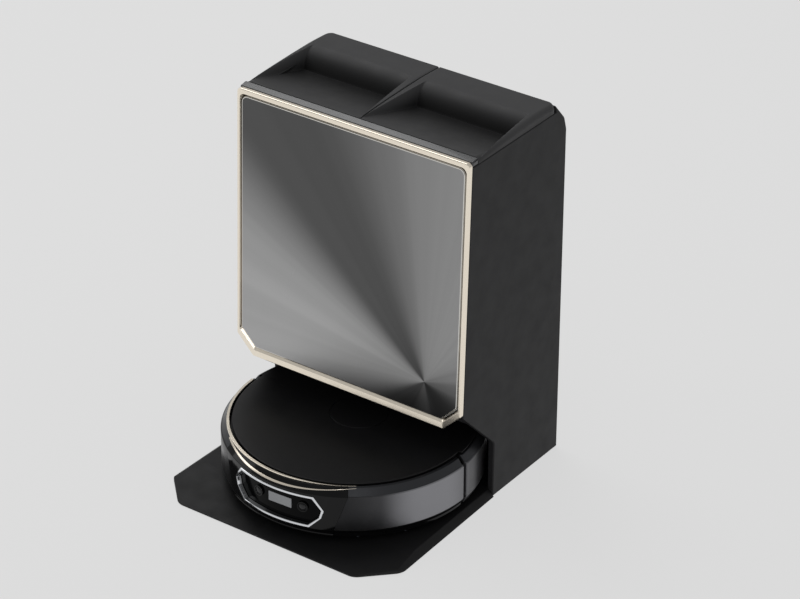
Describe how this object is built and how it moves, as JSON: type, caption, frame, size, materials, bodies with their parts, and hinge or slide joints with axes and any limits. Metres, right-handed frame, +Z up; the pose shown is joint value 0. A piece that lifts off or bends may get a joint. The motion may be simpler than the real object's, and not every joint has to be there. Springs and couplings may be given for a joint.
{
  "type": "robot vacuum with base station",
  "caption": "Round robot vacuum with mops, parked in a tall self-emptying base station with lift-out water tanks and a hinged front panel.",
  "frame": {"origin": "middle of the object's foot on the floor", "axes": "+Z up, the robot drives out along -Y, +X to the right seen from the front"},
  "size_m": [0.3786, 0.4136, 0.534],
  "materials": {
    "satin_dark": "satin dark grey moulded plastic",
    "tray_dark": "fine textured black plastic",
    "top_satin": "satin charcoal plastic",
    "strip_gloss": "polished charcoal plastic",
    "champagne": "polished champagne anodised metal",
    "brushed_dark": "dark brushed metal with a fan-shaped sheen",
    "inner_plastic": "plain black plastic",
    "clear_tank": "lightly tinted plastic",
    "smoke_tank": "smoke tinted plastic",
    "bag_paper": "off-white filter fabric",
    "motor_metal": "cast metal housing",
    "pump_plastic": "dark plastic housing",
    "circuit_board": "green board",
    "contact_metal": "plated contact metal",
    "rubber": "black rubber",
    "bottle": "pale plastic",
    "robot_top": "matte black plastic",
    "robot_gloss": "gloss black plastic",
    "robot_grey": "satin metallic grey plastic",
    "chrome": "polished chrome",
    "dark_glass": "black window plastic",
    "sensor_grey": "grey light sensor window",
    "hub_grey": "grey plastic",
    "brush_blue": "soft dark rubber blades",
    "mop_fabric": "grey microfibre",
    "battery_wrap": "wrapped cells"
  },
  "bodies": {
    "station": {"base_tray": "tray_dark", "side_wall_left": "satin_dark", "side_wall_right": "satin_dark", "rear_cover": "satin_dark", "front_frame": "champagne", "top_trim_strip": "strip_gloss", "garage_roof": "inner_plastic", "garage_back_wall": "inner_plastic", "tank_shelf": "inner_plastic", "dust_bag": "bag_paper", "suction_motor": "motor_metal", "water_pump": "pump_plastic", "control_board": "circuit_board", "dryer_fan": "pump_plastic", "detergent_bottle": "bottle", "contact_housing": "inner_plastic", "power_inlet": "inner_plastic", "wash_board": "inner_plastic", "foot_front": "rubber", "foot_rear": "rubber"},
    "front_door": {"front_panel": "brushed_dark"},
    "clean_tank": {"clean_tank": "clear_tank"},
    "clean_lid": {"clean_tank_lid": "top_satin"},
    "dirty_tank": {"dirty_tank": "smoke_tank"},
    "dirty_lid": {"dirty_tank_lid": "top_satin"},
    "pin_left": {"charging_pin_left": "contact_metal"},
    "pin_right": {"charging_pin_right": "contact_metal"},
    "robot": {"robot_chassis": "inner_plastic", "robot_body": "robot_grey", "dust_bin": "smoke_tank", "battery": "battery_wrap", "main_board": "circuit_board", "suction_fan": "motor_metal"},
    "bumper": {"bumper_side_left": "robot_grey", "bumper_front": "robot_gloss", "bumper_side_right": "robot_grey", "trim_arc": "champagne", "camera_bezel": "chrome", "camera_window": "dark_glass", "sensor_window": "sensor_grey", "camera_lens_left": "dark_glass", "camera_lens_right": "dark_glass"},
    "top_cover": {"robot_top_cover": "robot_top"},
    "button": {"control_button": "robot_top"},
    "arm_left": {"suspension_arm_left": "pump_plastic"},
    "arm_right": {"suspension_arm_right": "pump_plastic"},
    "wheel_left": {"drive_tyre_left": "rubber", "drive_hub_left": "hub_grey"},
    "wheel_right": {"drive_tyre_right": "rubber", "drive_hub_right": "hub_grey"},
    "caster": {"caster_fork": "inner_plastic"},
    "caster_roller": {"caster_wheel": "rubber"},
    "roller": {"roller_brush": "brush_blue"},
    "sweeper": {"side_brush": "brush_blue"},
    "mop_lifter": {"mop_carriage": "pump_plastic"},
    "mop_left": {"mop_plate_left": "hub_grey", "mop_pad_left": "mop_fabric"},
    "mop_right": {"mop_plate_right": "hub_grey", "mop_pad_right": "mop_fabric"}
  },
  "joints": [
    {"name": "front_door_hinge", "type": "hinge", "parent": "station", "child": "front_door", "pos_m": [-0.1762, -0.019, 0.33252], "axis": [0, -0.0359, -0.9994], "range_deg": [0, 105]},
    {"name": "clean_tank_lift", "type": "slide", "parent": "station", "child": "clean_tank", "axis": [0, 0, 1], "range_m": [0, 0.24]},
    {"name": "clean_lid_hinge", "type": "hinge", "parent": "clean_tank", "child": "clean_lid", "pos_m": [-0.0915, 0.1805, 0.5325], "axis": [-1, 0, 0], "range_deg": [0, 85]},
    {"name": "dirty_tank_lift", "type": "slide", "parent": "station", "child": "dirty_tank", "axis": [0, 0, 1], "range_m": [0, 0.24]},
    {"name": "dirty_lid_hinge", "type": "hinge", "parent": "dirty_tank", "child": "dirty_lid", "pos_m": [0.0915, 0.1805, 0.5325], "axis": [-1, 0, 0], "range_deg": [0, 85]},
    {"name": "charging_pin_left_press", "type": "slide", "parent": "station", "child": "pin_left", "axis": [0, 1, 0], "range_m": [0, 0.0025], "stiffness_N_per_m": 300, "springref_m": -0.001},
    {"name": "charging_pin_right_press", "type": "slide", "parent": "station", "child": "pin_right", "axis": [0, 1, 0], "range_m": [0, 0.0025], "stiffness_N_per_m": 300, "springref_m": -0.001},
    {"name": "robot_drive_out", "type": "slide", "parent": "station", "child": "robot", "axis": [0, -1, 0], "range_m": [0, 0.45]},
    {"name": "bumper_press", "type": "slide", "parent": "robot", "child": "bumper", "axis": [0, 1, 0], "range_m": [0, 0.003], "stiffness_N_per_m": 800, "springref_m": -0.001},
    {"name": "top_cover_lift", "type": "slide", "parent": "robot", "child": "top_cover", "axis": [0, 0, 1], "range_m": [0, 0.03]},
    {"name": "control_button_press", "type": "slide", "parent": "top_cover", "child": "button", "axis": [0, 0, -1], "range_m": [0, 0.0012], "stiffness_N_per_m": 600, "springref_m": -0.001},
    {"name": "suspension_left", "type": "hinge", "parent": "robot", "child": "arm_left", "pos_m": [-0.105, -0.052, 0.05], "axis": [1, 0, 0], "range_deg": [0, 6], "stiffness_Nm_per_rad": 1.5, "springref_deg": -17.19},
    {"name": "drive_wheel_left_spin", "type": "hinge", "parent": "arm_left", "child": "wheel_left", "pos_m": [-0.123, -0.014, 0.0433], "axis": [1, 0, 0], "continuous": true},
    {"name": "suspension_right", "type": "hinge", "parent": "robot", "child": "arm_right", "pos_m": [0.105, -0.052, 0.05], "axis": [1, 0, 0], "range_deg": [0, 6], "stiffness_Nm_per_rad": 1.5, "springref_deg": -17.19},
    {"name": "drive_wheel_right_spin", "type": "hinge", "parent": "arm_right", "child": "wheel_right", "pos_m": [0.123, -0.014, 0.0433], "axis": [1, 0, 0], "continuous": true},
    {"name": "caster_swivel", "type": "hinge", "parent": "robot", "child": "caster", "pos_m": [0, -0.13, 0.035], "axis": [0, 0, 1], "continuous": true},
    {"name": "caster_wheel_roll", "type": "hinge", "parent": "caster", "child": "caster_roller", "pos_m": [0, -0.124, 0.0243], "axis": [1, 0, 0], "continuous": true},
    {"name": "roller_brush_spin", "type": "hinge", "parent": "robot", "child": "roller", "pos_m": [0, -0.062, 0.034], "axis": [1, 0, 0], "continuous": true},
    {"name": "side_brush_spin", "type": "hinge", "parent": "robot", "child": "sweeper", "pos_m": [0.108, -0.104, 0.02], "axis": [0, 0, 1], "continuous": true},
    {"name": "mop_lift", "type": "slide", "parent": "robot", "child": "mop_lifter", "axis": [0, 0, 1], "range_m": [0, 0.01]},
    {"name": "mop_left_spin", "type": "hinge", "parent": "mop_lifter", "child": "mop_left", "pos_m": [-0.066, 0.072, 0.02], "axis": [0, 0, 1], "continuous": true},
    {"name": "mop_right_spin", "type": "hinge", "parent": "mop_lifter", "child": "mop_right", "pos_m": [0.066, 0.072, 0.02], "axis": [0, 0, 1], "continuous": true}
  ],
  "couplings": [
    {"joint": "mop_right_spin", "follows": "mop_left_spin", "ratio": -1}
  ]
}
